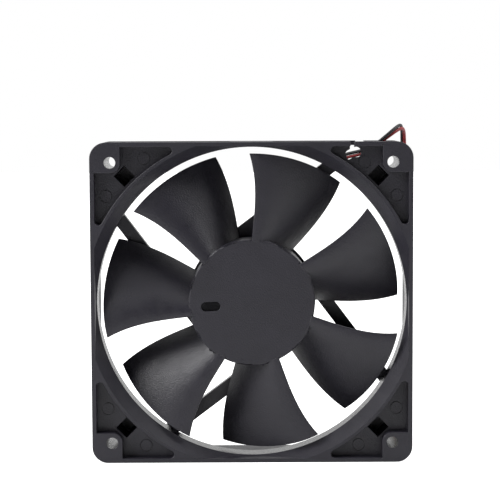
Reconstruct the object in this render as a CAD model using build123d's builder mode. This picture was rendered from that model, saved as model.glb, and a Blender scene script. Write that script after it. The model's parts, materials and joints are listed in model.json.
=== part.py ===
from build123d import *
import math
import os

# Axial fan, 120 x 120 x 25 mm. It stands on its bottom edge: X is its width, Y its depth (the
# front faces -Y), Z is up, and the origin is the middle of its footprint. Inside this file every
# station along the spin axis is a depth behind the front face.

# ---- driving dimensions (mm) ----
SIDE = 120.0
DEPTH = 25.0
HOLE_PITCH = 105.0
HOLE_R = 2.15
CORNER_R = 6.0
FLANGE = 6.0
POCKET_DEPTH = 4.4
EDGE_WALL = 1.65
POCKET_RING_R = 63.2
BOSS_SQUARE = 11.3
BOSS_POST_R = 4.2
POCKET_CORNER_R = 3.5
POCKET_TIP_R = 1.5
FACE_EDGE_R = 0.25
PAD_R = 2.1
PAD_H = 0.25
PAD_GROOVE_W = 0.3
PAD_GROOVE = 0.3
PAD_SPOTS = [(54.2, 40.0), (40.0, 54.0)]
PAD_BY_WIRES = (42.2, 52.4)
THROAT_R = 58.1
MOUTH_R = 62.0
REAR_MOUTH_R = 60.6
REAR_FLARE = 14.5
MOUTH_FLAT = 58.5
REAR_MOUTH_FLAT = 58.2
BARREL_R = 60.4
BARREL_FLAT = 59.9
SOCKET_OFFSET = 47.35
SOCKET_SIDE = 5.6
SOCKET_POST_SIDE = 8.0
SOCKET_DEPTH = 17.0

STRUT_SLOPE = 37.0
STRUT_OFFSET = 22.0
STRUT_W = 4.9
WIRE_STRUT_W = 5.4
STRUT_FRONT = 20.8
CHANNEL_W = 3.2
CHANNEL_FLOOR = 21.9
WIRE_GAP_W = 10.0
WIRE_GAP_X = 38.0
WIRE_GAP_Y = 54.0
BASE_R = 24.5
BASE_FRONT = 20.4
DISH_R = 22.9
DISH_FLOOR = 23.4
TUBE_BOSS_R = 7.0
TUBE_BOSS_H = 2.0
LABEL_R = 21.0
LABEL_RECESS = 0.3

BLADES = 7
HUB_FACE = 2.75
HUB_R = 23.63
HUB_END = 18.6
HUB_PLATE = 1.7
HUB_EDGE_R = 0.65
BUSH_SEAT = 0.85
MARK_L = 7.3
MARK_W = 3.5
MARK_AT = (-15.4, -1.4)
MARK_TURN = 3.0
MARK_RECESS = 0.9
TIP_R = 55.7
BLADE_FRONT = 2.9
BLADE_REAR = 18.2
BLADE_T = 1.7
BLADE_EDGE_T = 0.8
BLADE_RISE = [(0.0, 0.0), (0.2, 0.316), (0.5, 0.696), (0.8, 0.949), (1.0, 1.0)]
BLADE_MIDDLE = 18.0
BLADE_SECTIONS = (20.0, 28.0, 37.0, 46.0, 56.5)

FIT = 0.02
SHAFT_R = 1.5
BUSH_R = 3.25
BUSH_END = 6.4
SHAFT_END = 22.9
YOKE_OUT_R = 22.0
YOKE_T = 1.0
YOKE_END = 18.2
MAGNET_IN_R = 19.0
MAGNET_FRONT = 7.0
MAGNET_END = 17.5
CLIP_OUT_R = 2.7
CLIP_T = 0.4
CLIP_GROOVE_T = 0.4
SPRING_WIRE = 0.4
SPRING_R = 2.0
SPRING_TURNS = 2
TUBE_R = 4.8
BEARING_R = 4.0
BEARING_W = 3.0
FRONT_BEARING = 8.2
REAR_BEARING = 18.6
BALL_R = 0.6
BALL_PITCH_R = 2.75
BALLS = 7
INNER_SHOULDER_R = 2.25
OUTER_SHOULDER_R = 3.25
SHIELD_OUT_R = 3.45
SHIELD_T = 0.15
CAGE_W = 0.64
CAGE_T = 0.85
TUBE_WAIST_R = 3.3
CORE_R = 18.4
CORE_FRONT = 9.5
CORE_REAR = 14.5
SHOE_IN_R = 16.4
SLOT_W = 3.0
INSULATOR_T = 0.8
ARM_W = 5.0
COIL_IN_R = 9.2
COIL_OUT_R = 14.5
LIP_IN_R = 15.4
COIL_T = 2.0
BOARD_R = 20.0
BOARD_FRONT = 19.0
BOARD_T = 1.0
POST_OFFSET = 6.3
POST_R = 1.1
PIN_SIDE = 0.56
DRIVER_R = 16.8
DRIVER_W = 4.0
DRIVER_T = 1.5
LEG_PITCH = 1.0
LEG_SIDE = 0.4

LEAD_D = 1.2
COIL_X = 52.0
COIL_DEPTH = 41.5
COIL_MEAN_R = 7.55
COIL_HALF_W = 1.35
COIL_BOTTOM = 0.5
COIL_TOP = 5.0
PLUG_L = 8.0
PLUG_W = 6.0
PLUG_H = 4.6
PLUG_ENTRY_X = 54.0
PLUG_DEPTH = 48.0
PLUG_BOTTOM = 5.05
PIN_PITCH = 2.5
BORE_SIDE = 1.9
CONTACT_SIDE = 1.5
CONTACT_BORE = 0.8
TIE_ANGLE = 205.0
TIE_W = 2.0
TIE_T = 0.45

HALF = SIDE / 2
FRONT = Plane(origin=(0, -DEPTH / 2, HALF), x_dir=(1, 0, 0), z_dir=(0, -1, 0))
SECTION = Plane(origin=(0, -DEPTH / 2, HALF), x_dir=(1, 0, 0), z_dir=(0, 0, 1))
SPIN = Axis((0, -DEPTH / 2, HALF), (0, 1, 0))

os.makedirs("parts", exist_ok=True)


def behind(depth):
    """The face plane at a depth behind the front: X right, Y up, normal to the front."""
    return FRONT.offset(-depth)


def face_point(x, y, depth):
    """A point given by its place on the face, from the spin axis, and its depth."""
    return Vector(x, depth - DEPTH / 2, y + HALF)


def strut_point(along, aside, depth):
    """A point given along and beside the wire strut's own line."""
    c = math.cos(math.radians(STRUT_SLOPE))
    s = math.sin(math.radians(STRUT_SLOPE))
    return face_point(along * c - aside * s, along * s + aside * c, depth)


# ---- frame: duct, two flanges, corner posts, motor base and struts in one moulding ----
with BuildPart() as mouth_limits:
    with BuildSketch(FRONT):
        Rectangle(2 * MOUTH_FLAT, 2 * MOUTH_FLAT)
    extrude(amount=-DEPTH / 2)
    with BuildSketch(behind(DEPTH)):
        Rectangle(2 * REAR_MOUTH_FLAT, 2 * REAR_MOUTH_FLAT)
    extrude(amount=DEPTH / 2)

with BuildPart() as duct:
    with BuildSketch(SECTION):
        with BuildLine():
            Polyline(
                (0, 0),
                (MOUTH_R, 0),
                (THROAT_R, FLANGE),
                (THROAT_R, REAR_FLARE),
                (REAR_MOUTH_R, DEPTH),
                (0, DEPTH),
                close=True,
            )
        make_face()
    revolve(axis=SPIN)
    add(mouth_limits.part, mode=Mode.INTERSECT)

with BuildPart() as frame:
    with BuildSketch(FRONT):
        RectangleRounded(SIDE, SIDE, CORNER_R)
    extrude(amount=-FLANGE)
    with BuildSketch(behind(DEPTH)):
        RectangleRounded(SIDE, SIDE, CORNER_R)
    extrude(amount=FLANGE)
    with BuildSketch(behind(FLANGE)):
        Circle(BARREL_R)
        Rectangle(2 * BARREL_FLAT, 2 * BARREL_FLAT, mode=Mode.INTERSECT)
        with GridLocations(HOLE_PITCH, HOLE_PITCH, 2, 2):
            Circle(BOSS_POST_R)
        with GridLocations(2 * SOCKET_OFFSET, 2 * SOCKET_OFFSET, 2, 2):
            Rectangle(SOCKET_POST_SIDE, SOCKET_POST_SIDE, rotation=45)
    extrude(amount=-(DEPTH - 2 * FLANGE))
    add(duct.part, mode=Mode.SUBTRACT)
    # the four L-shaped recesses of each flange
    for face_plane, inward in ((FRONT, -1), (behind(DEPTH), 1)):
        with BuildSketch(face_plane) as recess:
            Rectangle(2 * (HALF - EDGE_WALL), 2 * (HALF - EDGE_WALL))
            Circle(POCKET_RING_R, mode=Mode.SUBTRACT)
            with GridLocations(SIDE - BOSS_SQUARE, SIDE - BOSS_SQUARE, 2, 2):
                Rectangle(BOSS_SQUARE, BOSS_SQUARE, mode=Mode.SUBTRACT)
            corners = recess.vertices().filter_by(lambda v: abs(abs(v.X) - abs(v.Y)) < 0.01)
            fillet(corners, POCKET_CORNER_R)
            tips = recess.vertices().filter_by(lambda v: min(abs(v.X), abs(v.Y)) < HALF / 2)
            fillet(tips, POCKET_TIP_R)
        extrude(amount=inward * POCKET_DEPTH, mode=Mode.SUBTRACT)
    # ejector pads on the pocket floors, one of them moved aside for the wire opening
    pads = [(sx * x, sy * y) for sx in (-1, 1) for sy in (-1, 1) for x, y in PAD_SPOTS]
    pads[-1] = PAD_BY_WIRES
    with BuildSketch(behind(POCKET_DEPTH)):
        with Locations(*pads):
            Circle(PAD_R)
    extrude(amount=PAD_H)
    with BuildSketch(behind(POCKET_DEPTH)):
        with Locations(*pads):
            Circle(PAD_R + PAD_GROOVE_W)
            Circle(PAD_R, mode=Mode.SUBTRACT)
    extrude(amount=-PAD_GROOVE, mode=Mode.SUBTRACT)
    # square blind sockets beside the corner bosses
    with BuildSketch(FRONT):
        with GridLocations(2 * SOCKET_OFFSET, 2 * SOCKET_OFFSET, 2, 2):
            Rectangle(SOCKET_SIDE, SOCKET_SIDE, rotation=45)
    extrude(amount=-SOCKET_DEPTH, mode=Mode.SUBTRACT)
    # motor base and the four tangential struts
    with BuildSketch(behind(DEPTH)):
        with PolarLocations(0, 4, start_angle=STRUT_SLOPE):
            with Locations((33.0, STRUT_OFFSET)):
                Rectangle(60.0, STRUT_W)
        with PolarLocations(0, 1, start_angle=STRUT_SLOPE):
            with Locations((33.0, STRUT_OFFSET)):
                Rectangle(60.0, WIRE_STRUT_W)
        Circle(POCKET_RING_R - 0.3, mode=Mode.INTERSECT)
    extrude(amount=DEPTH - STRUT_FRONT)
    with BuildSketch(behind(BASE_FRONT)):
        Circle(BASE_R)
    extrude(amount=-(DEPTH - BASE_FRONT))
    with BuildSketch(behind(BASE_FRONT)):
        Circle(DISH_R)
    extrude(amount=-(DISH_FLOOR - BASE_FRONT), mode=Mode.SUBTRACT)
    with BuildSketch(behind(DISH_FLOOR)):
        Circle(TUBE_BOSS_R)
    extrude(amount=TUBE_BOSS_H)
    with BuildSketch(behind(DEPTH)):
        Circle(LABEL_R + 0.4)
    extrude(amount=LABEL_RECESS, mode=Mode.SUBTRACT)
    with BuildSketch(behind(BASE_FRONT)):
        Circle(TUBE_R + FIT)
    extrude(amount=-(DEPTH - BASE_FRONT), mode=Mode.SUBTRACT)
    # wire channel: open to the rear along its strut, and through the ring into the corner
    with BuildSketch(behind(DEPTH)):
        with PolarLocations(0, 1, start_angle=STRUT_SLOPE):
            with Locations((31.0, STRUT_OFFSET)):
                Rectangle(61.0, CHANNEL_W)
    extrude(amount=DEPTH - CHANNEL_FLOOR, mode=Mode.SUBTRACT)
    with BuildSketch(behind(DEPTH)):
        with PolarLocations(0, 1, start_angle=STRUT_SLOPE):
            with Locations((57.75, STRUT_OFFSET)):
                Rectangle(6.5, CHANNEL_W)
    extrude(amount=FLANGE, mode=Mode.SUBTRACT)
    # wire opening through both flanges at the top right corner, with its slots to the edge
    with BuildSketch(behind(DEPTH)):
        with Locations((WIRE_GAP_X, WIRE_GAP_Y)):
            Rectangle(WIRE_GAP_W, 2 * (HALF - EDGE_WALL - WIRE_GAP_Y))
        Circle(POCKET_RING_R + 0.1, mode=Mode.SUBTRACT)
        with Locations((41.3, 58.0)):
            Rectangle(3.4, 6.0)
    extrude(amount=FLANGE, mode=Mode.SUBTRACT)
    with BuildSketch(FRONT):
        with BuildLine():
            Spline(
                (35.0, 55.6),
                (36.6, 57.1),
                (39.2, 58.0),
                (40.7, 56.9),
                (40.2, 54.3),
                (37.6, 53.9),
                (35.6, 54.1),
                tangents=[(0.3, 1.0), (-0.3, 1.0)],
            )
            Line((35.6, 54.1), (35.0, 55.6))
        make_face()
        with Locations((37.5, 58.6)):
            Rectangle(1.6, 4.0)
    extrude(amount=-FLANGE, mode=Mode.SUBTRACT)
    # screw holes, through both flanges and the posts between them
    with BuildSketch(FRONT):
        with GridLocations(HOLE_PITCH, HOLE_PITCH, 2, 2):
            Circle(HOLE_R)
    extrude(amount=-DEPTH, mode=Mode.SUBTRACT)
    # softened edges: both faces' outlines, recesses and screw holes, but not the duct's mouths
    for end in (0, -1):
        face = frame.faces().filter_by(GeomType.PLANE).group_by(Axis.Y)[end].sort_by(SortBy.AREA)[-1]
        small_loops = [loop for loop in face.inner_wires() if loop.length < SIDE]
        fillet([edge for loop in [face.outer_wire(), *small_loops] for edge in loop.edges()], FACE_EDGE_R)

frame.part.label = "frame"
export_step(frame.part, "parts/frame.step")


# ---- impeller: hub cup and seven blades in one moulding ----
def edge_angle(radius, base, slope, bow):
    """A blade edge's angle about the axis at a radius, in degrees."""
    u = (radius - 40.0) / 20.0
    return base + slope * u + bow * u * u


def blade_end(distance, base, slope, bow):
    """Where a blade edge meets the plane at a distance along the blade's middle direction."""
    angle = 0.0
    for _ in range(5):
        radius = distance / math.cos(angle)
        angle = math.radians(edge_angle(radius, base, slope, bow) - BLADE_MIDDLE)
    return distance * math.tan(angle)


def section_side(middle_line, side):
    """One side of a blade section: its middle line moved by half the thickness, less at the edges."""
    moved = []
    last = len(middle_line) - 1
    for i, point in enumerate(middle_line):
        along = middle_line[min(i + 1, last)] - middle_line[max(i - 1, 0)]
        across = Vector(-along.Y, along.X).normalized()
        thickness = BLADE_EDGE_T if i in (0, last) else BLADE_T
        moved.append(point + across * (side * thickness / 2))
    return moved


with BuildPart() as blade:
    for section_r in BLADE_SECTIONS:
        rear_u = blade_end(section_r, -1.45, 1.5, 2.7)
        front_u = blade_end(section_r, 36.65, 0.7, 3.4)
        middle = math.radians(BLADE_MIDDLE)
        outward = Vector(math.cos(middle), 0, math.sin(middle))
        sideways = Vector(-math.sin(middle), 0, math.cos(middle))
        plane = Plane(origin=SPIN.position + outward * section_r, x_dir=sideways, z_dir=-outward)
        # on this plane local x is along the turning direction and local y is towards the rear
        middle_line = [
            Vector(rear_u + (front_u - rear_u) * across, BLADE_REAR + (BLADE_FRONT - BLADE_REAR) * rise)
            for across, rise in BLADE_RISE
        ]
        left = section_side(middle_line, 1)
        right = section_side(middle_line, -1)
        with BuildSketch(plane):
            with BuildLine():
                Spline(*left)
                Line(left[-1], right[-1])
                Spline(*right)
                Line(right[0], left[0])
            make_face()
    loft()
    with BuildSketch(FRONT):
        Circle(TIP_R)
        Circle(HUB_R - 0.8, mode=Mode.SUBTRACT)
    extrude(amount=-DEPTH, mode=Mode.INTERSECT)

with BuildPart() as impeller:
    with BuildSketch(SECTION):
        with BuildLine():
            Polyline(
                (0, HUB_FACE),
                (HUB_R, HUB_FACE),
                (HUB_R, HUB_END),
                (YOKE_OUT_R + FIT, HUB_END),
                (YOKE_OUT_R + FIT, HUB_FACE + HUB_PLATE),
                (BUSH_R + FIT, HUB_FACE + HUB_PLATE),
                (BUSH_R + FIT, HUB_FACE + BUSH_SEAT),
                (0, HUB_FACE + BUSH_SEAT),
                close=True,
            )
        make_face()
    revolve(axis=SPIN)
    rim = impeller.edges().filter_by(GeomType.CIRCLE).group_by(Axis.Y)[0].sort_by(SortBy.RADIUS)[-1]
    fillet(rim, HUB_EDGE_R)
    with BuildSketch(behind(HUB_FACE)):
        with Locations(Location((*MARK_AT, 0), (0, 0, MARK_TURN))):
            SlotOverall(MARK_L, MARK_W)
    extrude(amount=-MARK_RECESS, mode=Mode.SUBTRACT)
    for i in range(BLADES):
        add(blade.part.rotate(SPIN, -i * 360 / BLADES))

impeller.part.label = "impeller"
export_step(impeller.part, "parts/impeller.step")


# ---- rotor: yoke cup, magnet, bush and shaft ----
def ring(inner_r, outer_r, start, end):
    """A plain ring round the spin axis, from one depth to another."""
    with BuildPart() as made:
        with BuildSketch(behind(start)):
            Circle(outer_r)
            if inner_r > 0:
                Circle(inner_r, mode=Mode.SUBTRACT)
        extrude(amount=-(end - start))
    return made


YOKE_FRONT = HUB_FACE + HUB_PLATE + FIT
BUSH_FRONT = HUB_FACE + BUSH_SEAT + FIT
SHAFT_FRONT = BUSH_FRONT + 0.3
CLIP_GROOVE = REAR_BEARING + BEARING_W + 0.1

with BuildPart() as rotor_yoke:
    with BuildSketch(SECTION):
        with BuildLine():
            Polyline(
                (BUSH_R + FIT, YOKE_FRONT),
                (YOKE_OUT_R, YOKE_FRONT),
                (YOKE_OUT_R, YOKE_END),
                (YOKE_OUT_R - YOKE_T, YOKE_END),
                (YOKE_OUT_R - YOKE_T, YOKE_FRONT + YOKE_T),
                (BUSH_R + FIT, YOKE_FRONT + YOKE_T),
                close=True,
            )
        make_face()
    revolve(axis=SPIN)
rotor_yoke.part.label = "rotor_yoke"
export_step(rotor_yoke.part, "parts/rotor_yoke.step")

magnet_ring = ring(MAGNET_IN_R, YOKE_OUT_R - YOKE_T - FIT, MAGNET_FRONT, MAGNET_END)
magnet_ring.part.label = "magnet_ring"
export_step(magnet_ring.part, "parts/magnet_ring.step")

shaft_bush = ring(SHAFT_R + FIT, BUSH_R, BUSH_FRONT, BUSH_END)
shaft_bush.part.label = "shaft_bush"
export_step(shaft_bush.part, "parts/shaft_bush.step")

with BuildPart() as shaft:
    with BuildSketch(SECTION):
        with BuildLine():
            Polyline(
                (0, SHAFT_FRONT),
                (SHAFT_R, SHAFT_FRONT),
                (SHAFT_R, CLIP_GROOVE),
                (SHAFT_R - CLIP_GROOVE_T, CLIP_GROOVE),
                (SHAFT_R - CLIP_GROOVE_T, CLIP_GROOVE + CLIP_T + 2 * FIT),
                (SHAFT_R, CLIP_GROOVE + CLIP_T + 2 * FIT),
                (SHAFT_R, SHAFT_END - 0.3),
                (SHAFT_R - 0.3, SHAFT_END),
                (0, SHAFT_END),
                close=True,
            )
        make_face()
    revolve(axis=SPIN)
shaft.part.label = "shaft"
export_step(shaft.part, "parts/shaft.step")

with BuildPart() as retaining_clip:
    with BuildSketch(behind(CLIP_GROOVE + FIT)):
        Circle(CLIP_OUT_R)
        Circle(SHAFT_R - CLIP_GROOVE_T + FIT, mode=Mode.SUBTRACT)
        with Locations((0, -2.0)):
            Rectangle(1.6, 3.0, mode=Mode.SUBTRACT)
    extrude(amount=-CLIP_T)
retaining_clip.part.label = "retaining_clip"
export_step(retaining_clip.part, "parts/retaining_clip.step")

spring_travel = FRONT_BEARING - BUSH_END - SPRING_WIRE - 4 * FIT
spring_start = SPIN.position + Vector(0, BUSH_END + SPRING_WIRE / 2 + 2 * FIT, 0)
with BuildPart() as preload_spring:
    with BuildLine() as coil_path:
        Helix(spring_travel / SPRING_TURNS, spring_travel, SPRING_R, spring_start, SPIN.direction)
    with BuildSketch(coil_path.line ^ 0):
        Circle(SPRING_WIRE / 2)
    sweep(is_frenet=True)
preload_spring.part.label = "preload_spring"
export_step(preload_spring.part, "parts/preload_spring.step")


# ---- two small ball bearings, five pieces each ----
GROOVE_R = BALL_R + 0.05


def bearing(name, front):
    """Outer ring, inner ring, balls, cage and shields of a bearing whose front face is at a depth."""
    rear = front + BEARING_W
    mid = front + BEARING_W / 2
    with BuildPart() as outer_ring:
        with BuildSketch(SECTION):
            with BuildLine():
                Polyline(
                    (SHIELD_OUT_R + FIT, front),
                    (BEARING_R - FIT, front),
                    (BEARING_R - FIT, rear),
                    (SHIELD_OUT_R + FIT, rear),
                    (SHIELD_OUT_R + FIT, rear - SHIELD_T - FIT),
                    (OUTER_SHOULDER_R, rear - SHIELD_T - FIT),
                    (OUTER_SHOULDER_R, front + SHIELD_T + FIT),
                    (SHIELD_OUT_R + FIT, front + SHIELD_T + FIT),
                    close=True,
                )
            make_face()
            with Locations((BALL_PITCH_R, mid)):
                Circle(GROOVE_R, mode=Mode.SUBTRACT)
        revolve(axis=SPIN)
    outer_ring.part.label = name + "_outer_ring"
    export_step(outer_ring.part, f"parts/{name}_outer_ring.step")
    with BuildPart() as inner_ring:
        with BuildSketch(SECTION):
            with Locations(((SHAFT_R + FIT + INNER_SHOULDER_R) / 2, mid)):
                Rectangle(INNER_SHOULDER_R - SHAFT_R - FIT, BEARING_W)
            with Locations((BALL_PITCH_R, mid)):
                Circle(GROOVE_R, mode=Mode.SUBTRACT)
        revolve(axis=SPIN)
    inner_ring.part.label = name + "_inner_ring"
    export_step(inner_ring.part, f"parts/{name}_inner_ring.step")
    with BuildPart() as balls:
        with Locations(behind(mid)):
            with PolarLocations(BALL_PITCH_R, BALLS):
                Sphere(BALL_R)
    balls.part.label = name + "_balls"
    export_step(balls.part, f"parts/{name}_balls.step")
    with BuildPart() as cage:
        with BuildSketch(behind(mid + 0.2)):
            Circle(BALL_PITCH_R + CAGE_W / 2)
            Circle(BALL_PITCH_R - CAGE_W / 2, mode=Mode.SUBTRACT)
        extrude(amount=-CAGE_T)
        with Locations(behind(mid)):
            with PolarLocations(BALL_PITCH_R, BALLS):
                Sphere(GROOVE_R, mode=Mode.SUBTRACT)
    cage.part.label = name + "_cage"
    export_step(cage.part, f"parts/{name}_cage.step")
    with BuildPart() as shields:
        for face in (front, rear - SHIELD_T):
            with BuildSketch(behind(face)):
                Circle(SHIELD_OUT_R)
                Circle(INNER_SHOULDER_R + 0.12, mode=Mode.SUBTRACT)
            extrude(amount=-SHIELD_T)
    shields.part.label = name + "_shields"
    export_step(shields.part, f"parts/{name}_shields.step")


bearing("front_bearing", FRONT_BEARING)
bearing("rear_bearing", REAR_BEARING)

# ---- fixed bearing tube, seated in the motor base ----
TUBE_FRONT = FRONT_BEARING - 0.2
TUBE_END = DEPTH - LABEL_RECESS - 0.2
with BuildPart() as bearing_tube:
    with BuildSketch(SECTION):
        with BuildLine():
            Polyline(
                (BEARING_R, TUBE_FRONT),
                (TUBE_R, TUBE_FRONT),
                (TUBE_R, TUBE_END),
                (BEARING_R, TUBE_END),
                (BEARING_R, REAR_BEARING - FIT),
                (TUBE_WAIST_R, REAR_BEARING - FIT),
                (TUBE_WAIST_R, FRONT_BEARING + BEARING_W + FIT),
                (BEARING_R, FRONT_BEARING + BEARING_W + FIT),
                close=True,
            )
        make_face()
    revolve(axis=SPIN)
bearing_tube.part.label = "bearing_tube"
export_step(bearing_tube.part, "parts/bearing_tube.step")

# ---- stator: core, two insulators, four windings and the terminal pins ----
with BuildPart() as stator_core:
    with BuildSketch(behind(CORE_FRONT)):
        Circle(CORE_R)
        Circle(SHOE_IN_R, mode=Mode.SUBTRACT)
        with PolarLocations(0, 2, start_angle=45, angular_range=180):
            Rectangle(2 * CORE_R + 1, SLOT_W, mode=Mode.SUBTRACT)
        Rectangle(2 * SHOE_IN_R + 1, ARM_W)
        Rectangle(ARM_W, 2 * SHOE_IN_R + 1)
        Circle(8.6)
        Circle(TUBE_R + FIT, mode=Mode.SUBTRACT)
    extrude(amount=-(CORE_REAR - CORE_FRONT))
stator_core.part.label = "stator_core"
export_step(stator_core.part, "parts/stator_core.step")


def insulator(start):
    """A moulded spider on one face of the core, with a lip that holds the windings in."""
    with BuildPart() as made:
        with BuildSketch(behind(start)):
            Circle(SHOE_IN_R - 0.1)
            Circle(LIP_IN_R, mode=Mode.SUBTRACT)
            with PolarLocations(0, 2, start_angle=45, angular_range=180):
                Rectangle(2 * CORE_R + 1, 9.0, mode=Mode.SUBTRACT)
            Rectangle(2 * LIP_IN_R + 1, ARM_W + 0.2)
            Rectangle(ARM_W + 0.2, 2 * LIP_IN_R + 1)
            Circle(COIL_IN_R - 0.1)
            Circle(TUBE_R + FIT, mode=Mode.SUBTRACT)
        extrude(amount=-INSULATOR_T)
    return made


front_insulator = insulator(CORE_FRONT - INSULATOR_T)
front_insulator.part.label = "front_insulator"
export_step(front_insulator.part, "parts/front_insulator.step")

posts = [(POST_OFFSET * sx, POST_OFFSET * sy) for sx in (-1, 1) for sy in (-1, 1)]
pin_posts = posts[:3]
with BuildPart() as rear_insulator:
    add(insulator(CORE_REAR).part)
    with BuildSketch(behind(CORE_REAR)):
        with Locations(*posts):
            Circle(POST_R)
    extrude(amount=-(BOARD_FRONT - CORE_REAR))
    with BuildSketch(behind(CORE_REAR + 1)):
        with Locations(*pin_posts):
            Rectangle(PIN_SIDE + 2 * FIT, PIN_SIDE + 2 * FIT)
    extrude(amount=-(BOARD_FRONT - CORE_REAR - 1), mode=Mode.SUBTRACT)
rear_insulator.part.label = "rear_insulator"
export_step(rear_insulator.part, "parts/rear_insulator.step")

PIN_END = BOARD_FRONT + BOARD_T + 0.6
with BuildPart() as terminal_pins:
    with BuildSketch(behind(CORE_REAR + 1.1)):
        with Locations(*pin_posts):
            Rectangle(PIN_SIDE, PIN_SIDE)
    extrude(amount=-(PIN_END - CORE_REAR - 1.1))
terminal_pins.part.label = "terminal_pins"
export_step(terminal_pins.part, "parts/terminal_pins.step")

coil_bore_w = ARM_W + 0.3
coil_bore_t = CORE_REAR - CORE_FRONT + 2 * INSULATOR_T + 0.1
coil_middle = (CORE_FRONT + CORE_REAR) / 2
with BuildPart() as stator_windings:
    for i in range(4):
        turn = math.radians(90 * i)
        outward = Vector(math.cos(turn), 0, math.sin(turn))
        sideways = Vector(-math.sin(turn), 0, math.cos(turn))
        seat = SPIN.position + outward * COIL_IN_R + Vector(0, coil_middle, 0)
        with BuildSketch(Plane(origin=seat, x_dir=sideways, z_dir=outward)):
            RectangleRounded(coil_bore_w + 2 * COIL_T, coil_bore_t + 2 * COIL_T, 1.2)
            Rectangle(coil_bore_w, coil_bore_t, mode=Mode.SUBTRACT)
        extrude(amount=COIL_OUT_R - COIL_IN_R)
stator_windings.part.label = "stator_windings"
export_step(stator_windings.part, "parts/stator_windings.step")

# ---- circuit board and what is soldered to it ----
BOARD_REAR = BOARD_FRONT + BOARD_T
leg_spots = [(0, LEG_PITCH * (i - 1.5)) for i in range(4)]
with BuildPart() as circuit_board:
    with BuildSketch(behind(BOARD_FRONT)):
        Circle(BOARD_R)
        Circle(TUBE_R + 0.4, mode=Mode.SUBTRACT)
        with Locations(*pin_posts):
            Circle(0.5, mode=Mode.SUBTRACT)
        with PolarLocations(DRIVER_R, 1, start_angle=45):
            with Locations(*leg_spots):
                Circle(0.35, mode=Mode.SUBTRACT)
    extrude(amount=-BOARD_T)
circuit_board.part.label = "circuit_board"
export_step(circuit_board.part, "parts/circuit_board.step")

with BuildPart() as hall_driver:
    with BuildSketch(behind(BOARD_FRONT - 3.4)):
        with PolarLocations(DRIVER_R, 1, start_angle=45):
            Rectangle(DRIVER_T, DRIVER_W)
    extrude(amount=-3.0)
    chamfer(hall_driver.edges().filter_by(Axis.Y).sort_by(Axis.X)[:1], 0.3)
hall_driver.part.label = "hall_driver"
export_step(hall_driver.part, "parts/hall_driver.step")

with BuildPart() as driver_legs:
    with BuildSketch(behind(BOARD_FRONT - 0.4)):
        with PolarLocations(DRIVER_R, 1, start_angle=45):
            with Locations(*leg_spots):
                Rectangle(LEG_SIDE, LEG_SIDE)
    extrude(amount=-(BOARD_T + 0.9))
driver_legs.part.label = "driver_legs"
export_step(driver_legs.part, "parts/driver_legs.step")


def chips(spots, length, width, height):
    """Small parts that lie on the front of the board, each with its long side across the radius."""
    with BuildPart() as made:
        with BuildSketch(behind(BOARD_FRONT)):
            for radius, angle in spots:
                with PolarLocations(radius, 1, start_angle=angle):
                    Rectangle(width, length)
        extrude(amount=height)
    return made


chip_resistors = chips([(17.6, 110), (17.6, 160), (17.6, 250)], 2.0, 1.25, 0.5)
chip_resistors.part.label = "chip_resistors"
export_step(chip_resistors.part, "parts/chip_resistors.step")

chip_capacitors = chips([(17.6, 135), (17.6, 200)], 2.0, 1.25, 1.2)
chip_capacitors.part.label = "chip_capacitors"
export_step(chip_capacitors.part, "parts/chip_capacitors.step")

polarity_diode = chips([(17.4, 300)], 3.6, 1.6, 1.2)
polarity_diode.part.label = "polarity_diode"
export_step(polarity_diode.part, "parts/polarity_diode.step")

with BuildPart() as rear_label:
    with BuildSketch(behind(DEPTH - LABEL_RECESS)):
        Circle(LABEL_R)
    extrude(amount=-0.12)
rear_label.part.label = "rear_label"
export_step(rear_label.part, "parts/rear_label.step")


# ---- the two leads ----
# Each row is a point on the middle of the pair and the black lead's place beside it; the red
# lead lies as far on the other side. All are in mm in the part's own frame.
held_route = [
    (strut_point(-9.0, 16.3, BOARD_REAR + 0.75), strut_point(-9.4, 16.9, BOARD_REAR + 0.75)),
    (strut_point(-3.5, 19.4, 21.6), strut_point(-3.8, 20.0, 21.6)),
    (strut_point(4.0, 21.7, 22.4), strut_point(3.9, 22.37, 22.4)),
    (strut_point(15.0, 22.0, 23.0), strut_point(15.0, 22.67, 23.0)),
    (strut_point(34.0, 21.9, 23.5), strut_point(34.0, 22.57, 23.5)),
    (strut_point(55.3, 22.0, 22.9), strut_point(55.3, 22.67, 22.9)),
    (face_point(35.8, 54.2, 20.4), face_point(35.45, 54.75, 20.3)),
    (face_point(40.8, 55.4, 15.6), face_point(40.49, 56.0, 15.46)),
    (face_point(45.37, 57.22, 12.1), face_point(45.05, 57.46, 11.54)),
    (face_point(48.9, 60.0, 12.0), face_point(48.7, 60.27, 11.44)),
]
free_route = [
    (face_point(48.9, 60.0, 12.0), face_point(48.7, 60.27, 11.44)),
    (face_point(52.2, 62.6, 11.9), face_point(52.0, 63.01, 11.42)),
    (face_point(54.9, 64.6, 13.4), face_point(54.71, 65.21, 13.21)),
    (face_point(56.9, 65.5, 16.6), face_point(56.64, 66.12, 16.72)),
    (face_point(57.9, 64.2, 21.2), face_point(57.5, 64.6, 21.5)),
    (face_point(58.4, 60.2, 25.4), face_point(57.9, 60.4, 25.8)),
    (face_point(58.8, 53.5, 28.1), face_point(58.3, 53.6, 28.55)),
    (face_point(59.5, 43.0, 28.9), face_point(59.0, 43.0, 29.37)),
    (face_point(60.35, 28.0, 28.9), face_point(59.87, 28.0, 29.37)),
    (face_point(60.6, 4.0, 29.3), face_point(60.12, 4.0, 29.77)),
    (face_point(60.45, -26.0, 29.2), face_point(59.97, -26.0, 29.67)),
    (face_point(60.5, -44.0, 29.0), face_point(60.0, -44.0, 29.45)),
    (face_point(60.4, -53.2, 29.8), face_point(59.85, -53.0, 30.2)),
    (face_point(60.1, -58.2, 33.6), face_point(59.47, -57.9, 33.8)),
    (face_point(59.6, -59.3, 39.6), face_point(58.93, -59.3, 39.6)),
]
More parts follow.
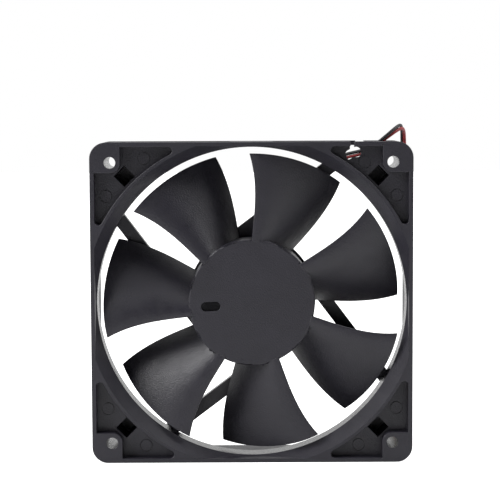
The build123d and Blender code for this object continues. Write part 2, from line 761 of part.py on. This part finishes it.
tail_route = [
    (face_point(57.34, -54.9, 46.84), face_point(56.87, -54.9, 46.37)),
    (face_point(56.2, -53.5, 47.6), face_point(55.8, -53.5, 46.7)),
    (face_point(PLUG_ENTRY_X, -52.65, PLUG_DEPTH), face_point(PLUG_ENTRY_X, -52.65, PLUG_DEPTH - 1.25)),
]


def beside(route, side):
    """One lead's own points: side 1 is the black lead and -1 the red one."""
    return [middle + (black - middle) * side for middle, black in route]


def bend_radii(points):
    """The arc at each inner point: 0.45 of the shorter run over the tangent of half the turn."""
    radii = []
    for before, here, after in zip(points, points[1:], points[2:]):
        into, out = here - before, after - here
        half_turn = math.radians(into.get_angle(out)) / 2
        radii.append(0.45 * min(into.length, out.length) / math.tan(half_turn))
    return radii


def lead_tube(points, name):
    """A lead's tube along straight runs joined by tangent arcs."""
    radii = bend_radii(points)
    with BuildPart() as tube:
        with BuildLine() as path:
            FilletPolyline(*points, radius=radii)
        with BuildSketch(path.line ^ 0):
            Circle(LEAD_D / 2)
        sweep()
    length = path.wires()[0].length
    share = tube.part.volume / (math.pi * LEAD_D**2 / 4 * length)
    print(name, "length", round(length, 1), "volume share", round(share, 3))
    print("   radii", [round(r, 1) for r in radii])
    tube.part.label = name
    return tube


for side, colour in ((1, "black"), (-1, "red")):
    for route, stretch in ((held_route, "_held"), (free_route, ""), (tail_route, "_end")):
        name = colour + "_lead" + stretch
        lead = lead_tube(beside(route, side), name)
        export_step(lead.part, f"parts/{name}.step")

# ---- the put-away turns, their tie, and the plug on the end ----
coil_centre = (COIL_X, COIL_DEPTH - DEPTH / 2)
with BuildPart() as lead_coil:
    with BuildSketch(Plane.XY.offset(COIL_BOTTOM)):
        with Locations(coil_centre):
            Circle(COIL_MEAN_R + COIL_HALF_W)
            Circle(COIL_MEAN_R - COIL_HALF_W, mode=Mode.SUBTRACT)
    extrude(amount=COIL_TOP - COIL_BOTTOM)
lead_coil.part.label = "lead_coil"
export_step(lead_coil.part, "parts/lead_coil.step")

coil_h = COIL_TOP - COIL_BOTTOM
tie_angle = math.radians(TIE_ANGLE)
tie_out = Vector(math.cos(tie_angle), math.sin(tie_angle), 0)
tie_along = Vector(-math.sin(tie_angle), math.cos(tie_angle), 0)
tie_middle = Vector(*coil_centre, (COIL_BOTTOM + COIL_TOP) / 2) + tie_out * COIL_MEAN_R
tie_centre = tie_middle - tie_along * (TIE_W / 2)
with BuildPart() as coil_tie:
    with BuildSketch(Plane(origin=tie_centre, x_dir=tie_out, z_dir=tie_along)):
        RectangleRounded(2 * (COIL_HALF_W + TIE_T) + 0.2, coil_h + 2 * TIE_T, 0.7)
        Rectangle(2 * COIL_HALF_W + 0.2, coil_h, mode=Mode.SUBTRACT)
    extrude(amount=TIE_W)
coil_tie.part.label = "coil_tie"
export_step(coil_tie.part, "parts/coil_tie.step")

plug_y = PLUG_DEPTH - DEPTH / 2
plug_mid = PLUG_BOTTOM + PLUG_H / 2
plug_face = Plane(origin=(PLUG_ENTRY_X, plug_y, plug_mid), x_dir=(0, 1, 0), z_dir=(1, 0, 0))
with BuildPart() as plug_housing:
    with BuildSketch(plug_face):
        Rectangle(PLUG_W, PLUG_H)
        with GridLocations(PIN_PITCH, 0, 2, 1):
            Rectangle(BORE_SIDE, BORE_SIDE, mode=Mode.SUBTRACT)
    extrude(amount=-PLUG_L)
    with BuildSketch(plug_face.offset(-PLUG_L * 0.35)):
        with Locations((0, PLUG_H / 2 + 0.2)):
            Rectangle(2.4, 0.4)
    extrude(amount=-PLUG_L * 0.4)
plug_housing.part.label = "plug_housing"
export_step(plug_housing.part, "parts/plug_housing.step")

with BuildPart() as plug_contacts:
    with BuildSketch(plug_face.offset(-1.5)):
        with GridLocations(PIN_PITCH, 0, 2, 1):
            Rectangle(CONTACT_SIDE, CONTACT_SIDE)
            Rectangle(CONTACT_BORE, CONTACT_BORE, mode=Mode.SUBTRACT)
    extrude(amount=-5.5)
plug_contacts.part.label = "plug_contacts"
export_step(plug_contacts.part, "parts/plug_contacts.step")
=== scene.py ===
import json
import math

import bpy
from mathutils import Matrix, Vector


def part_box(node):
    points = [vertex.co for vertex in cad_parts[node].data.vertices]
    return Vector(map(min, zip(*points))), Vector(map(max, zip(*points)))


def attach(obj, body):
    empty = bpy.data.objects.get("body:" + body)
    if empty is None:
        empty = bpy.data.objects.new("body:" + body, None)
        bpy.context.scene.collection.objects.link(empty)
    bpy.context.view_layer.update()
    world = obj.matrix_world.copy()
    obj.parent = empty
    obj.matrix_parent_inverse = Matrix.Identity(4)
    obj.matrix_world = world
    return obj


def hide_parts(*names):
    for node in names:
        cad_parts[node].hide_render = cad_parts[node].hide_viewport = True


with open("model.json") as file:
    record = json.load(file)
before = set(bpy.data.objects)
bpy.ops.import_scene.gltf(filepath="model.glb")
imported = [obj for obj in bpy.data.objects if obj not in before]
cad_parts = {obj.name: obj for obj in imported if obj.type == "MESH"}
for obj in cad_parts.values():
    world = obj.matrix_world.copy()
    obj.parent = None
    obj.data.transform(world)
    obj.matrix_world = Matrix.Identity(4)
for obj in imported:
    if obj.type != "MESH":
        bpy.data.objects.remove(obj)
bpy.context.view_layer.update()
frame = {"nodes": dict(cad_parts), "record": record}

MM = 0.001
nodes = frame["nodes"]
scene = bpy.context.scene
frame_low, frame_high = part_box("frame")
HALF_SIDE = (frame_high.x - frame_low.x) / 2
HUB = Vector((0.0, frame_low.y, HALF_SIDE))


# ---- camera ----
CAMERA_AT = (-0.00135, -0.64783, 0.13182)
CAMERA_TURN = (85.336, 0.223, -0.083)
CAMERA_LENS = 123.66
SENSOR_WIDTH = 36.0


def make_camera():
    """A long lens in front of the fan and a little above its middle."""
    data = bpy.data.cameras.new("camera")
    data.lens = CAMERA_LENS
    data.sensor_width = SENSOR_WIDTH
    data.clip_start = 0.05
    data.clip_end = 50.0
    camera = bpy.data.objects.new("camera", data)
    camera.location = CAMERA_AT
    camera.rotation_euler = [math.radians(a) for a in CAMERA_TURN]
    scene.collection.objects.link(camera)
    scene.camera = camera


make_camera()


# ---- the two leads ----
LEAD_D = 1.2 * MM
# the rest of the leads' numbers are in millimetres
HALF_DEPTH_MM = 12.5
HALF_SIDE_MM = 60.0
COIL_CENTRE = (52.0, 29.0)
COIL_TURNS = 3.125
COIL_POINTS = 12  # control points in each turn
COIL_RISE = 1.3  # per turn
COIL_START_Z = 1.15
COIL_INNER_R = 6.89
COIL_OUTER_R = 8.21


def face_point(x, y, depth):
    """A point in millimetres given by its place on the face, from the spin axis, and its depth."""
    return Vector((x, depth - HALF_DEPTH_MM, y + HALF_SIDE_MM))


# each row: a point on the middle of the pair, and the black lead's place beside it
FREE_ROUTE = [
    (face_point(48.9, 60.0, 12.0), face_point(48.7, 60.27, 11.44)),
    (face_point(52.2, 62.6, 11.9), face_point(52.0, 63.01, 11.42)),
    (face_point(54.9, 64.6, 13.4), face_point(54.71, 65.21, 13.21)),
    (face_point(56.9, 65.5, 16.6), face_point(56.64, 66.12, 16.72)),
    (face_point(57.9, 64.2, 21.2), face_point(57.5, 64.6, 21.5)),
    (face_point(58.4, 60.2, 25.4), face_point(57.9, 60.4, 25.8)),
    (face_point(58.8, 53.5, 28.1), face_point(58.3, 53.6, 28.55)),
    (face_point(59.5, 43.0, 28.9), face_point(59.0, 43.0, 29.37)),
    (face_point(60.35, 28.0, 28.9), face_point(59.87, 28.0, 29.37)),
    (face_point(60.6, 4.0, 29.3), face_point(60.12, 4.0, 29.77)),
    (face_point(60.45, -26.0, 29.2), face_point(59.97, -26.0, 29.67)),
    (face_point(60.5, -44.0, 29.0), face_point(60.0, -44.0, 29.45)),
    (face_point(60.4, -53.2, 29.8), face_point(59.85, -53.0, 30.2)),
    (face_point(60.1, -58.2, 33.6), face_point(59.47, -57.9, 33.8)),
    (face_point(59.6, -59.3, 39.6), face_point(58.93, -59.3, 39.6)),
]
TAIL_ROUTE = [
    (face_point(57.34, -54.9, 46.84), face_point(56.87, -54.9, 46.37)),
    (face_point(56.2, -53.5, 47.6), face_point(55.8, -53.5, 46.7)),
    (face_point(54.0, -52.65, 48.0), face_point(54.0, -52.65, 46.75)),
]


def beside(route, side):
    """One lead's own points: side 1 is the black lead and -1 the red one."""
    return [middle + (black - middle) * side for middle, black in route]


def coil_turns(radius):
    """The put-away turns, with control points just outside the line that they draw."""
    reach = radius / math.cos(math.pi / COIL_POINTS)
    steps = round(COIL_TURNS * COIL_POINTS)
    points = []
    for i in range(1, steps):
        angle = 2 * math.pi * i / COIL_POINTS
        x = COIL_CENTRE[0] + reach * math.cos(angle)
        y = COIL_CENTRE[1] + reach * math.sin(angle)
        points.append(Vector((x, y, COIL_START_Z + COIL_RISE * i / COIL_POINTS)))
    return points


def make_lead(name, side, coil_r, stands_for):
    """One lead from the frame's corner to the plug, as one smooth round-sectioned curve.

    The lead's thickness is in its points' radius, so that the curve's box is the lead's own.
    """
    route = beside(FREE_ROUTE, side) + coil_turns(coil_r) + beside(TAIL_ROUTE, side)
    curve = bpy.data.curves.new(name, "CURVE")
    curve.dimensions = "3D"
    curve.bevel_depth = 1.0
    curve.bevel_resolution = 6
    curve.resolution_u = 10
    spline = curve.splines.new("NURBS")
    spline.points.add(len(route) - 1)
    for point, place in zip(spline.points, route):
        point.co = (*(place * MM), 1.0)
        point.radius = LEAD_D / 2
    spline.order_u = 3
    spline.use_endpoint_u = True
    spline.use_smooth = True
    lead = bpy.data.objects.new(name, curve)
    scene.collection.objects.link(lead)
    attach(lead, "housing")
    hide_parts(*stands_for)
    return lead, route[0] * MM


black_lead, black_exit = make_lead(
    "black_wire", 1, COIL_INNER_R, ["black_lead", "black_lead_end", "lead_coil"]
)
red_lead, red_exit = make_lead(
    "red_wire", -1, COIL_OUTER_R, ["red_lead", "red_lead_end", "lead_coil"]
)


# ---- materials ----
DARK = (0.0155, 0.0143, 0.021)
STEEL = (0.62, 0.63, 0.65)
WAVE_PERIOD = 0.314  # of the wave texture at scale 1
COAT_ROUGHNESS = 0.1
WALL_LIMIT = 0.3  # a surface runs along the spin axis when its normal leans less than this to it
MASK_DARKENING = 0.8  # the share of its colour that a moulding loses where its mask is one; in the hub's recess this is painted shade


class Surface:
    """A procedural material: its nodes are added by short calls and feed one Principled shader."""

    def __init__(self, name, metallic=0.0, coat=0.0):
        self.material = bpy.data.materials.new(name)
        self.material.use_nodes = True
        self.nodes = self.material.node_tree.nodes
        self.links = self.material.node_tree.links
        self.shader = self.nodes["Principled BSDF"]
        self.shader.inputs["Metallic"].default_value = metallic
        self.shader.inputs["Coat Weight"].default_value = coat
        self.shader.inputs["Coat Roughness"].default_value = COAT_ROUGHNESS
        self.place = self.nodes.new("ShaderNodeTexCoord").outputs["Object"]
        self.normal = None

    def noise(self, size, detail=3.0, roughness=0.55, stretch=(1.0, 1.0, 1.0)):
        """Noise whose features are about size metres across, longer where stretch is over 1."""
        scale = self.nodes.new("ShaderNodeMapping")
        scale.inputs["Scale"].default_value = [1.0 / (size * s) for s in stretch]
        texture = self.nodes.new("ShaderNodeTexNoise")
        texture.inputs["Scale"].default_value = 1.0
        texture.inputs["Detail"].default_value = detail
        texture.inputs["Roughness"].default_value = roughness
        self.links.new(self.place, scale.inputs["Vector"])
        self.links.new(scale.outputs["Vector"], texture.inputs["Vector"])
        return texture.outputs["Fac"]

    def pits(self, size):
        """Small cells about size metres across, as left by a spark-eroded mould."""
        texture = self.nodes.new("ShaderNodeTexVoronoi")
        texture.inputs["Scale"].default_value = 1.0 / size
        self.links.new(self.place, texture.inputs["Vector"])
        return texture.outputs["Distance"]

    def stripes(self, pitch, axis):
        """Even stripes along one axis, pitch metres apart."""
        texture = self.nodes.new("ShaderNodeTexWave")
        texture.bands_direction = axis
        texture.inputs["Scale"].default_value = 1.0 / pitch * WAVE_PERIOD
        texture.inputs["Distortion"].default_value = 0.4
        self.links.new(self.place, texture.inputs["Vector"])
        return texture.outputs["Fac"]

    def rings(self, pitch, distortion):
        """Rings round the spin axis, pitch metres apart, as left by turning or brushing."""
        centre = self.nodes.new("ShaderNodeMapping")
        centre.inputs["Location"].default_value = (0.0, 0.0, -HUB.z)
        texture = self.nodes.new("ShaderNodeTexWave")
        texture.wave_type = "RINGS"
        texture.rings_direction = "Y"
        texture.inputs["Scale"].default_value = 1.0 / pitch * WAVE_PERIOD
        texture.inputs["Distortion"].default_value = distortion
        self.links.new(self.place, centre.inputs["Vector"])
        self.links.new(centre.outputs["Vector"], texture.inputs["Vector"])
        return texture.outputs["Fac"]

    def ramp(self, source, low, high, start=0.3, end=0.7):
        """A colour or grey between low and high, following source."""
        ramp = self.nodes.new("ShaderNodeValToRGB")
        first, last = ramp.color_ramp.elements
        first.position, first.color = start, colour4(low)
        last.position, last.color = end, colour4(high)
        self.links.new(source, ramp.inputs["Fac"])
        return ramp.outputs["Color"]

    def math(self, operation, first, second=0.0):
        """One sum on a socket and a second socket or number."""
        node = self.nodes.new("ShaderNodeMath")
        node.operation = operation
        self.links.new(first, node.inputs[0])
        if isinstance(second, float):
            node.inputs[1].default_value = second
        else:
            self.links.new(second, node.inputs[1])
        return node.outputs["Value"]

    def from_axis(self):
        """Three sockets: a point's place across, up and back, with the first two from the spin axis."""
        split = self.nodes.new("ShaderNodeSeparateXYZ")
        self.links.new(self.place, split.inputs["Vector"])
        up = self.math("SUBTRACT", split.outputs["Z"], HUB.z)
        return split.outputs["X"], up, split.outputs["Y"]

    def reach(self, first, second):
        """The length of a step of first one way and second square to it."""
        squares = self.math("MULTIPLY", first, first), self.math("MULTIPLY", second, second)
        return self.math("SQRT", self.math("ADD", *squares))

    def bores(self, duct_r, hole_offset, hole_r):
        """One inside the duct and the screw holes where the surface runs along the spin axis."""
        across, up, _ = self.from_axis()
        aside = self.math("SUBTRACT", self.math("ABSOLUTE", across), hole_offset)
        above = self.math("SUBTRACT", self.math("ABSOLUTE", up), hole_offset)
        in_duct = self.math("LESS_THAN", self.reach(across, up), duct_r)
        in_hole = self.math("LESS_THAN", self.reach(aside, above), hole_r)
        facing = self.nodes.new("ShaderNodeSeparateXYZ")
        self.links.new(self.nodes["Texture Coordinate"].outputs["Normal"], facing.inputs["Vector"])
        along = self.math("LESS_THAN", self.math("ABSOLUTE", facing.outputs["Y"]), WALL_LIMIT)
        return self.math("MULTIPLY", self.math("MAXIMUM", in_duct, in_hole), along)

    def hub_shade_mask(self, deeper_than, within_r):
        """One in the hub face's recess, where painted shade goes: behind a depth and near enough to the
        spin axis.
        """
        across, up, back = self.from_axis()
        behind = self.math("GREATER_THAN", back, deeper_than)
        return self.math("MULTIPLY", behind, self.math("LESS_THAN", self.reach(across, up), within_r))

    def smoother(self, gloss, polished, where):
        """The roughness gloss, or polished where the mask is one."""
        mix = self.nodes.new("ShaderNodeMix")
        self.links.new(where, mix.inputs["Factor"])
        self.links.new(gloss, mix.inputs["A"])
        mix.inputs["B"].default_value = polished
        return mix.outputs["Result"]

    def darker(self, tone, loss, where):
        """The colour tone, less by the share loss where the mask is one."""
        kept = self.math("ADD", self.math("MULTIPLY", where, -loss), 1.0)
        scaled = self.nodes.new("ShaderNodeHueSaturation")
        self.links.new(kept, scaled.inputs["Value"])
        self.links.new(tone, scaled.inputs["Color"])
        return scaled.outputs["Color"]

    def feed(self, socket, source):
        """Drives one of the shader's sockets."""
        self.links.new(source, self.shader.inputs[socket])

    def bump(self, source, height):
        """Relief of the given height in metres. Calls add up."""
        bump = self.nodes.new("ShaderNodeBump")
        bump.inputs["Distance"].default_value = height
        self.links.new(source, bump.inputs["Height"])
        if self.normal is not None:
            self.links.new(self.normal, bump.inputs["Normal"])
        self.normal = bump.outputs["Normal"]
        self.links.new(self.normal, self.shader.inputs["Normal"])


def colour4(value):
    """A grey number or a colour as four channels."""
    return (value, value, value, 1.0) if isinstance(value, float) else (*value, 1.0)


def shade(colour, factor):
    """A colour made darker or lighter."""
    return tuple(c * factor for c in colour)


def moulded_plastic(
    name, colour, roughness, grain=0.16 * MM, relief=0.55, smooth_and_darker_at=None, polish=0.15, shadow=0.0
):
    """Matt moulded plastic with fine eroded grain and faint flow variation.

    It is smoother and darker where its mask is one, and shadow takes that share of its shine; in the
    hub's recess the darkening and the lost shine are painted shade.
    """
    made = Surface(name)
    tone = made.ramp(made.noise(14 * MM, detail=4.0), shade(colour, 0.88), shade(colour, 1.14))
    gloss = made.ramp(made.noise(5 * MM), roughness - 0.05, roughness + 0.05)
    if smooth_and_darker_at is not None:
        where = smooth_and_darker_at(made)
        # painted shade in the hub's recess: its colour is darkened there; in the bores the colour is only
        # made darker
        tone = made.darker(tone, MASK_DARKENING, where)
        gloss = made.smoother(gloss, polish, where)
        if shadow:
            # painted shade: a metallic near-black surface takes away the recess's shine
            made.feed("Metallic", made.math("MULTIPLY", where, shadow))
    made.feed("Base Color", tone)
    made.feed("Roughness", gloss)
    made.bump(made.noise(grain * 3.4, detail=2.0), grain * relief)
    made.bump(made.noise(grain, detail=2.0, roughness=0.7), grain * 0.08)
    made.bump(made.pits(grain * 2.4), grain * 0.05)
    return made


DUCT_MASK_R = 58.15 * MM
HOLE_OFFSET = 52.5 * MM
HOLE_MASK_R = 2.4 * MM
# where the hub's recess gets painted shade
SHADE_BEHIND = 2.9 * MM  # just behind the hub's face
SHADE_WITHIN_R = 21.0 * MM


def in_bores(made):
    """The duct's wall and the screw holes, which the mould's cores leave smooth."""
    return made.bores(DUCT_MASK_R, HOLE_OFFSET, HOLE_MASK_R)


def in_hub_painted_shade(made):
    """The recess in the hub's face, darkened and robbed of most of its shine as painted shade, so that it
    reads nearly black.
    """
    return made.hub_shade_mask(frame_low.y + SHADE_BEHIND, SHADE_WITHIN_R)


def glossy_plastic(name, colour, roughness):
    """Smooth moulded plastic with faint sink marks."""
    made = Surface(name, coat=0.15)
    flow = made.noise(3 * MM)
    made.feed("Base Color", made.ramp(flow, shade(colour, 0.93), shade(colour, 1.05)))
    made.feed("Roughness", made.ramp(made.noise(0.6 * MM), roughness - 0.05, roughness + 0.08))
    made.bump(flow, 0.01 * MM)
    return made


def turned_metal(name, colour, roughness, pitch=0.12 * MM):
    """Metal with fine rings round the spin axis."""
    made = Surface(name, metallic=1.0)
    rings = made.rings(pitch, 0.3)
    made.feed("Base Color", made.ramp(made.noise(2 * MM), shade(colour, 0.9), shade(colour, 1.05)))
    made.feed("Roughness", made.ramp(rings, roughness - 0.06, roughness + 0.08))
    made.bump(rings, 0.003 * MM)
    return made


def plain_metal(name, colour, roughness):
    """Bright metal with small stains and scratches."""
    made = Surface(name, metallic=1.0)
    made.feed("Base Color", made.ramp(made.noise(0.7 * MM), shade(colour, 0.85), shade(colour, 1.05)))
    scratches = made.noise(0.2 * MM, stretch=(8.0, 1.0, 1.0))
    made.feed("Roughness", made.ramp(scratches, roughness - 0.08, roughness + 0.1))
    made.bump(scratches, 0.002 * MM)
    return made


def insulation(name, colour, roughness):
    """Soft extruded wire insulation with a faint lengthwise unevenness."""
    made = Surface(name)
    made.feed("Base Color", made.ramp(made.noise(2.5 * MM), shade(colour, 0.85), shade(colour, 1.12)))
    made.feed("Roughness", made.ramp(made.noise(0.8 * MM), roughness - 0.07, roughness + 0.08))
    made.bump(made.noise(0.5 * MM), 0.01 * MM)
    return made


def core_sheets(name):
    """The edges of thin steel sheets stacked along the spin axis."""
    made = Surface(name, metallic=1.0)
    sheets = made.stripes(0.5 * MM, "Y")
    made.feed("Base Color", made.ramp(sheets, (0.10, 0.10, 0.11), (0.33, 0.33, 0.35)))
    made.feed("Roughness", made.ramp(made.noise(0.9 * MM), 0.4, 0.6))
    made.bump(sheets, 0.03 * MM)
    return made


def wound_wire(name):
    """Enamelled copper turns lying side by side, each darker towards its neighbours as painted shade in
    the creases between turns.
    """
    made = Surface(name, metallic=0.9, coat=0.5)
    turns_and_crease_shade = made.stripes(0.28 * MM, "DIAGONAL")
    # painted shade: the copper colour darkens between neighbouring turns
    made.feed("Base Color", made.ramp(turns_and_crease_shade, (0.32, 0.11, 0.04), (0.75, 0.33, 0.14)))
    made.feed("Roughness", made.ramp(made.noise(0.8 * MM), 0.25, 0.4))
    made.bump(turns_and_crease_shade, 0.08 * MM)
    return made


def circuit_board(name):
    """Green solder mask over copper tracks."""
    made = Surface(name, coat=0.3)
    tracks = made.nodes.new("ShaderNodeTexVoronoi")
    tracks.feature = "DISTANCE_TO_EDGE"
    tracks.inputs["Scale"].default_value = 1.0 / (3.5 * MM)
    made.links.new(made.place, tracks.inputs["Vector"])
    lines = made.ramp(tracks.outputs["Distance"], (0.03, 0.2, 0.08), (0.01, 0.11, 0.05), 0.1, 0.14)
    made.feed("Base Color", lines)
    made.feed("Roughness", made.ramp(made.noise(1.2 * MM), 0.25, 0.4))
    made.bump(lines, 0.02 * MM)
    return made


LABEL_BORDER_R = (19.2 * MM, 19.3 * MM)


def label_film(name):
    """Plain silver film with a dark border."""
    made = Surface(name, metallic=0.35)
    centre = made.nodes.new("ShaderNodeVectorMath")
    centre.operation = "SUBTRACT"
    centre.inputs[1].default_value = (0.0, frame_high.y, HUB.z)
    reach = made.nodes.new("ShaderNodeVectorMath")
    reach.operation = "LENGTH"
    made.links.new(made.place, centre.inputs[0])
    made.links.new(centre.outputs["Vector"], reach.inputs[0])
    border = made.nodes.new("ShaderNodeMapRange")
    border.inputs["From Min"].default_value, border.inputs["From Max"].default_value = LABEL_BORDER_R
    made.links.new(reach.outputs["Value"], border.inputs["Value"])
    made.feed("Base Color", made.ramp(border.outputs["Result"], STEEL, (0.05, 0.05, 0.055), 0.4, 0.6))
    made.feed("Roughness", made.ramp(made.noise(1.5 * MM, stretch=(6.0, 1.0, 1.0)), 0.3, 0.45))
    made.bump(made.noise(0.3 * MM), 0.004 * MM)
    return made


finishes = {
    "black_pbt": moulded_plastic("black_pbt", DARK, 0.42, smooth_and_darker_at=in_bores, polish=0.12),
    # the hub's recess gets painted shade: a darker colour and most of its shine taken away
    "impeller_pbt": moulded_plastic(
        "impeller_pbt", DARK, 0.42, relief=0.7, smooth_and_darker_at=in_hub_painted_shade, polish=0.3, shadow=0.75
    ),
    "yoke_steel": turned_metal("yoke_steel", STEEL, 0.35),
    "magnet_ferrite": moulded_plastic("magnet_ferrite", (0.07, 0.065, 0.065), 0.6),
    "bush_brass": turned_metal("bush_brass", (0.78, 0.57, 0.27), 0.3),
    "bearing_steel": turned_metal("bearing_steel", (0.75, 0.76, 0.78), 0.18, 0.06 * MM),
    "spring_steel": plain_metal("spring_steel", STEEL, 0.3),
    "tube_brass": turned_metal("tube_brass", (0.75, 0.55, 0.28), 0.32),
    "core_steel": core_sheets("core_steel"),
    "insulator_nylon": glossy_plastic("insulator_nylon", (0.74, 0.72, 0.63), 0.4),
    "copper_wire": wound_wire("copper_wire"),
    "board_green": circuit_board("board_green"),
    "chip_black": moulded_plastic("chip_black", (0.03, 0.03, 0.03), 0.5, 0.08 * MM),
    "chip_body": moulded_plastic("chip_body", (0.42, 0.33, 0.24), 0.45, 0.08 * MM),
    "tinned_metal": plain_metal("tinned_metal", (0.8, 0.8, 0.8), 0.28),
    "label_film": label_film("label_film"),
    "black_insulation": insulation("black_insulation", (0.010, 0.010, 0.012), 0.48),
    "red_insulation": insulation("red_insulation", (0.24, 0.010, 0.012), 0.48),
    "tie_nylon": glossy_plastic("tie_nylon", (0.025, 0.025, 0.026), 0.4),
    "plug_nylon": glossy_plastic("plug_nylon", (0.78, 0.76, 0.7), 0.32),
}


def dress(piece, slot):
    """Gives a piece its only material."""
    piece.data.materials.clear()
    piece.data.materials.append(finishes[slot].material)


for part in frame["record"]["subparts"]:
    dress(nodes[part["node"]], part["material_slot"])
dress(black_lead, "black_insulation")
dress(red_lead, "red_insulation")


# ---- softened edges ----
WELD_GAP = 0.001 * MM
SOFT_EDGE_ANGLE = math.radians(35)
SOFT_EDGE_WIDTH = 0.14 * MM


def soften(name):
    """Rounds a moulded piece's edges a little, without moving its faces."""
    weld = nodes[name].modifiers.new("weld", "WELD")
    weld.merge_threshold = WELD_GAP
    bevel = nodes[name].modifiers.new("edges", "BEVEL")
    bevel.width = SOFT_EDGE_WIDTH
    bevel.segments = 2
    bevel.limit_method = "ANGLE"
    bevel.angle_limit = SOFT_EDGE_ANGLE
    bevel.use_clamp_overlap = False
    normals = nodes[name].modifiers.new("normals", "WEIGHTED_NORMAL")
    normals.keep_sharp = False


soften("impeller")


# ---- floor, light and surroundings ----
FLOOR_HALF = 3.0
FLOOR_GLOW = 0.03  # what the floor gives to the fan, against 1 to the camera


def camera_only(tree, low):
    """One for what the camera sees directly, and low for the light that falls on the fan."""
    path = tree.nodes.new("ShaderNodeLightPath")
    seen = tree.nodes.new("ShaderNodeMapRange")
    seen.inputs["To Min"].default_value = low
    tree.links.new(path.outputs["Is Camera Ray"], seen.inputs["Value"])
    return seen.outputs["Result"]


def make_floor():
    """A plain pale floor that the camera sees as nearly white."""
    mesh = bpy.data.meshes.new("floor")
    corners = [(x * FLOOR_HALF, y * FLOOR_HALF, 0) for x, y in ((-1, -1), (1, -1), (1, 1), (-1, 1))]
    mesh.from_pydata(corners, [], [(0, 1, 2, 3)])
    floor = bpy.data.objects.new("floor", mesh)
    scene.collection.objects.link(floor)
    material = bpy.data.materials.new("floor")
    material.use_nodes = True
    shader = material.node_tree.nodes["Principled BSDF"]
    shader.inputs["Base Color"].default_value = (0.8, 0.8, 0.8, 1.0)
    shader.inputs["Roughness"].default_value = 0.9
    shader.inputs["Emission Color"].default_value = (1.0, 1.0, 1.0, 1.0)
    tree = material.node_tree
    tree.links.new(camera_only(tree, FLOOR_GLOW), shader.inputs["Emission Strength"])
    mesh.materials.append(material)


def light_place(azimuth, off_axis, distance):
    """A place seen from the hub: turned about the axis from the right, and off the front axis."""
    around = math.radians(azimuth)
    off = math.radians(off_axis)
    toward = Vector((math.sin(off) * math.cos(around), -math.cos(off), math.sin(off) * math.sin(around)))
    return HUB + toward * distance


def make_light(name, place, size, energy):
    """A square soft light that points at the hub."""
    data = bpy.data.lights.new(name, "AREA")
    data.shape = "SQUARE"
    data.size = size
    data.energy = energy
    light = bpy.data.objects.new(name, data)
    light.location = place
    light.rotation_euler = (HUB - place).to_track_quat("-Z", "Y").to_euler()
    scene.collection.objects.link(light)


WORLD_TOP = 1.35
# each row: a direction, from 0 straight in front of the fan to 1 straight behind it, and the share of
# WORLD_TOP that comes from there
WORLD_BANDS = [(0.0, 0.0), (0.24, 0.0), (0.26, 1.0), (0.49, 1.0), (0.51, 0.65), (1.0, 0.65)]


def make_world():
    """Surroundings that are dark in front of the fan and bright beside it, and white to the camera."""
    world = bpy.data.worlds.new("studio")
    scene.world = world
    world.use_nodes = True
    tree = world.node_tree
    background = tree.nodes["Background"]
    place = tree.nodes.new("ShaderNodeTexCoord")
    split = tree.nodes.new("ShaderNodeSeparateXYZ")
    ramp = tree.nodes.new("ShaderNodeValToRGB")
    bands = ramp.color_ramp.elements
    bands.remove(bands[0])
    for position, grey in WORLD_BANDS[:-1]:
        bands.new(position).color = colour4(grey)
    bands[-1].color = colour4(WORLD_BANDS[-1][1])
    seen = tree.nodes.new("ShaderNodeMath")
    seen.operation = "MAXIMUM"
    halved = tree.nodes.new("ShaderNodeMapRange")
    halved.inputs["From Min"].default_value = -1.0
    tree.links.new(place.outputs["Generated"], split.inputs["Vector"])
    tree.links.new(split.outputs["Y"], halved.inputs["Value"])
    tree.links.new(halved.outputs["Result"], ramp.inputs["Fac"])
    scaled = tree.nodes.new("ShaderNodeMath")
    scaled.operation = "MULTIPLY"
    scaled.inputs[1].default_value = WORLD_TOP
    tree.links.new(ramp.outputs["Color"], scaled.inputs[0])
    tree.links.new(scaled.outputs["Value"], seen.inputs[0])
    tree.links.new(camera_only(tree, 0.0), seen.inputs[1])
    tree.links.new(seen.outputs["Value"], background.inputs["Strength"])
    background.inputs["Color"].default_value = colour4(1.0)


make_floor()
make_world()
make_light("left", light_place(azimuth=145, off_axis=68, distance=0.75), size=0.4, energy=4.5)
make_light("right", light_place(azimuth=50, off_axis=84, distance=0.65), size=0.4, energy=1.6)
scene.view_settings.view_transform = "Standard"

bpy.context.view_layer.update()
